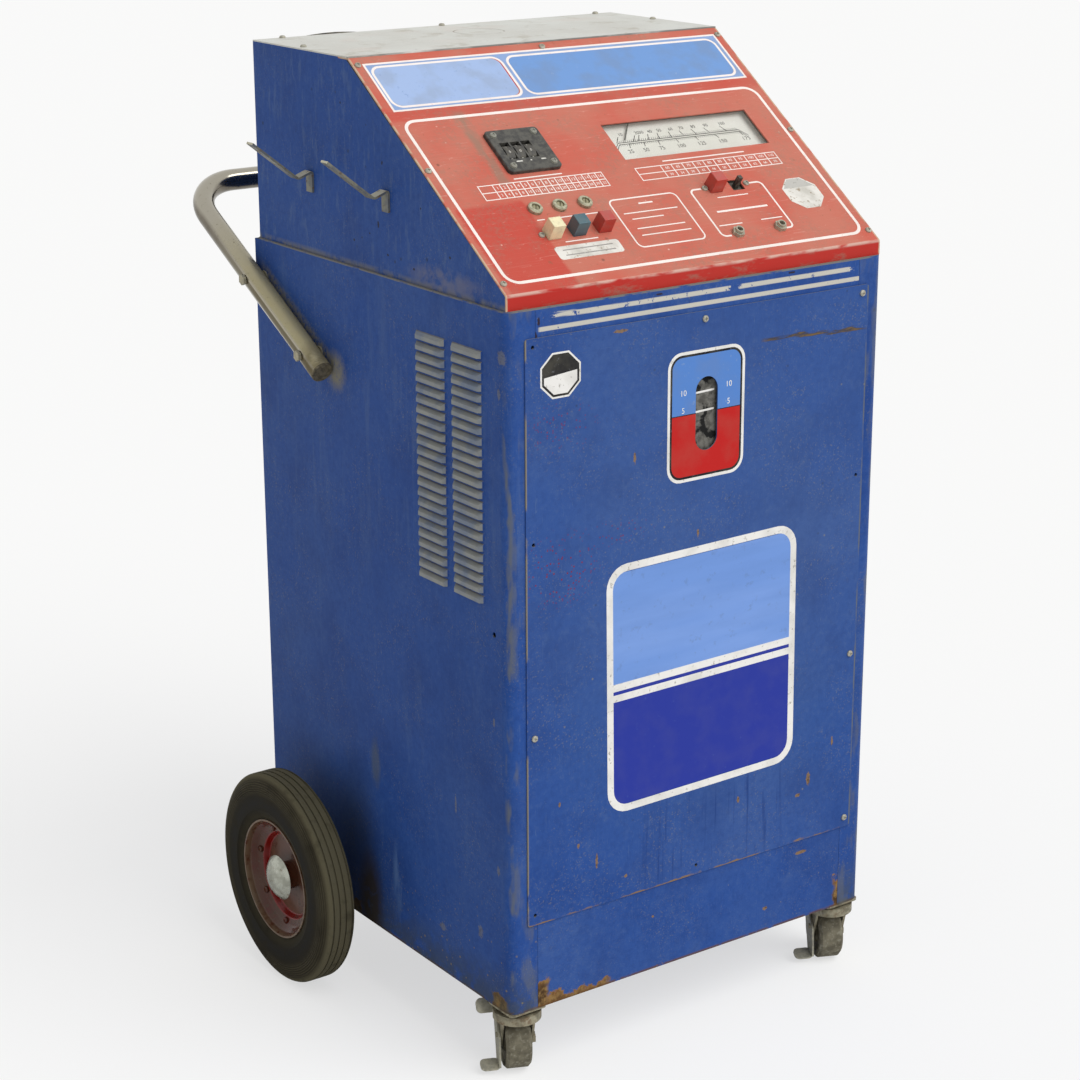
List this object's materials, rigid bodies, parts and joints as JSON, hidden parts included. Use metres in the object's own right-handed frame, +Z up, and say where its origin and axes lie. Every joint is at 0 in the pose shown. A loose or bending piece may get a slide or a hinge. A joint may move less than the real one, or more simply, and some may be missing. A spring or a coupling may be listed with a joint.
{
  "type": "air conditioning recharge station",
  "caption": "Wheeled sheet-metal service cabinet with sloping control panel, sight slot, tube handle, two large rear wheels and two swivel casters.",
  "frame": {"origin": "on the floor, at the middle of the object's outline", "axes": "+Z up, -Y out of the front panel, +X to the right as seen from the front"},
  "size_m": [0.676, 0.6626, 1.0926],
  "materials": {
    "blue_paint": "gloss enamel, scratched and rusty at the foot",
    "red_paint": "faded dusty enamel",
    "bare_top": "stained pale grey sheet",
    "zinc": "dull zinc plate with light rust",
    "chrome_tube": "dusty chrome",
    "rim_paint": "dark red gloss enamel",
    "tyre_rubber": "dusty black rubber",
    "caster_rubber": "worn grey rubber",
    "black_plastic": "moulded",
    "dial_card": "printed dial",
    "window_glass": "clear",
    "needle_paint": "matt black",
    "ivory_plastic": "glossy",
    "teal_plastic": "glossy",
    "red_plastic": "glossy",
    "lens_plastic": "dull lens",
    "tank_paint": "satin",
    "pump_paint": "grey casting enamel",
    "brass_block": "dull",
    "flag_paint": "grey with white marks"
  },
  "bodies": {
    "cabinet": {"base_pan": "blue_paint", "left_side_panel": "blue_paint", "right_side_panel": "blue_paint", "kick_panel": "blue_paint", "top_rail": "blue_paint", "front_panel": "blue_paint", "deck": "zinc", "back_frame": "blue_paint", "hinge_frame_leaf": "zinc", "console_left_side": "blue_paint", "console_right_side": "blue_paint", "console_back": "blue_paint", "console_top": "bare_top", "control_panel": "red_paint", "panel_screws": "zinc", "meter_case": "black_plastic", "meter_dial": "dial_card", "meter_window": "window_glass", "thumbwheel_bezel": "black_plastic", "lamp_bezels": "zinc", "lamp_lenses": "lens_plastic", "switch_bodies": "black_plastic", "probe_jacks": "zinc", "hose_hooks": "zinc", "handle_tube": "chrome_tube", "handle_plugs": "black_plastic", "handle_bolts": "zinc", "rear_axle": "zinc", "caster_plates": "zinc", "scale_shelf": "zinc", "vacuum_pump": "pump_paint", "valve_manifold": "brass_block", "circuit_box": "zinc", "rear_fittings": "brass_block"},
    "door": {"rear_door": "blue_paint"},
    "latch": {"door_latch": "zinc"},
    "needle": {"meter_needle": "needle_paint"},
    "thumbwheel_1": {"thumbwheel_1": "black_plastic"},
    "thumbwheel_2": {"thumbwheel_2": "black_plastic"},
    "thumbwheel_3": {"thumbwheel_3": "black_plastic"},
    "button_ivory": {"button_ivory": "ivory_plastic"},
    "button_teal": {"button_teal": "teal_plastic"},
    "button_red": {"button_red": "red_plastic"},
    "probe_button": {"probe_button": "red_plastic"},
    "probe_plunger": {"probe_plunger": "black_plastic"},
    "left_wheel": {"left_tyre": "tyre_rubber", "left_rim": "rim_paint", "left_hub_cap": "zinc"},
    "right_wheel": {"right_tyre": "tyre_rubber", "right_rim": "rim_paint", "right_hub_cap": "zinc"},
    "left_fork": {"left_caster_fork": "zinc"},
    "right_fork": {"right_caster_fork": "zinc"},
    "left_roller": {"left_caster_wheel": "caster_rubber"},
    "right_roller": {"right_caster_wheel": "caster_rubber"},
    "left_brake": {"left_caster_brake": "zinc"},
    "right_brake": {"right_caster_brake": "zinc"},
    "scale": {"tank_platform": "zinc", "supply_tank": "tank_paint", "level_flag": "flag_paint"}
  },
  "joints": [
    {"name": "door_swing", "type": "hinge", "parent": "cabinet", "child": "door", "pos_m": [-0.2164, 0.18521, 0.4575], "axis": [0, 0, 1], "range_deg": [0, 110]},
    {"name": "latch_turn", "type": "hinge", "parent": "door", "child": "latch", "pos_m": [0.188, 0.19121, 0.47], "axis": [0, 1, 0], "range_deg": [0, 90]},
    {"name": "needle_swing", "type": "hinge", "parent": "cabinet", "child": "needle", "pos_m": [0.1015, -0.07433, 1.04967], "axis": [0, -0.5774, 0.8165], "range_deg": [0, 76], "stiffness_Nm_per_rad": 0.0005, "springref_deg": -17.19},
    {"name": "thumbwheel_1_turn", "type": "hinge", "parent": "cabinet", "child": "thumbwheel_1", "pos_m": [-0.1395, -0.16083, 0.9858], "axis": [1, 0, 0], "continuous": true},
    {"name": "thumbwheel_2_turn", "type": "hinge", "parent": "cabinet", "child": "thumbwheel_2", "pos_m": [-0.126, -0.16083, 0.9858], "axis": [1, 0, 0], "continuous": true},
    {"name": "thumbwheel_3_turn", "type": "hinge", "parent": "cabinet", "child": "thumbwheel_3", "pos_m": [-0.1125, -0.16083, 0.9858], "axis": [1, 0, 0], "continuous": true},
    {"name": "button_ivory_press", "type": "slide", "parent": "cabinet", "child": "button_ivory", "axis": [0, 0.5774, -0.8165], "range_m": [0, 0.004], "stiffness_N_per_m": 150, "springref_m": -0.002},
    {"name": "button_teal_press", "type": "slide", "parent": "cabinet", "child": "button_teal", "axis": [0, 0.5774, -0.8165], "range_m": [0, 0.004], "stiffness_N_per_m": 150, "springref_m": -0.002},
    {"name": "button_red_press", "type": "slide", "parent": "cabinet", "child": "button_red", "axis": [0, 0.5774, -0.8165], "range_m": [0, 0.004], "stiffness_N_per_m": 150, "springref_m": -0.002},
    {"name": "probe_button_press", "type": "slide", "parent": "cabinet", "child": "probe_button", "axis": [0, 0.5774, -0.8165], "range_m": [0, 0.004], "stiffness_N_per_m": 150, "springref_m": -0.002},
    {"name": "probe_plunger_press", "type": "slide", "parent": "cabinet", "child": "probe_plunger", "axis": [0, 0.5774, -0.8165], "range_m": [0, 0.004], "stiffness_N_per_m": 150, "springref_m": -0.002},
    {"name": "left_wheel_roll", "type": "hinge", "parent": "cabinet", "child": "left_wheel", "pos_m": [-0.314, 0.05081, 0.127], "axis": [1, 0, 0], "continuous": true},
    {"name": "right_wheel_roll", "type": "hinge", "parent": "cabinet", "child": "right_wheel", "pos_m": [0.314, 0.05081, 0.127], "axis": [1, 0, 0], "continuous": true},
    {"name": "left_caster_swivel", "type": "hinge", "parent": "cabinet", "child": "left_fork", "pos_m": [-0.229, -0.30219, 0.082], "axis": [0, 0, 1], "continuous": true},
    {"name": "right_caster_swivel", "type": "hinge", "parent": "cabinet", "child": "right_fork", "pos_m": [0.229, -0.30219, 0.082], "axis": [0, 0, 1], "continuous": true},
    {"name": "left_caster_roll", "type": "hinge", "parent": "left_fork", "child": "left_roller", "pos_m": [-0.2229, -0.28849, 0.03175], "axis": [0.9135, -0.4067, 0], "continuous": true},
    {"name": "right_caster_roll", "type": "hinge", "parent": "right_fork", "child": "right_roller", "pos_m": [0.2351, -0.28849, 0.03175], "axis": [0.9135, -0.4067, 0], "continuous": true},
    {"name": "left_brake_rock", "type": "hinge", "parent": "left_fork", "child": "left_brake", "pos_m": [-0.2462, -0.28797, 0.044], "axis": [0.9135, -0.4067, 0], "range_deg": [-12, 0]},
    {"name": "right_brake_rock", "type": "hinge", "parent": "right_fork", "child": "right_brake", "pos_m": [0.2118, -0.28797, 0.044], "axis": [0.9135, -0.4067, 0], "range_deg": [-12, 0]},
    {"name": "scale_rise", "type": "slide", "parent": "cabinet", "child": "scale", "axis": [0, 0, 1], "range_m": [0, 0.03]}
  ]
}
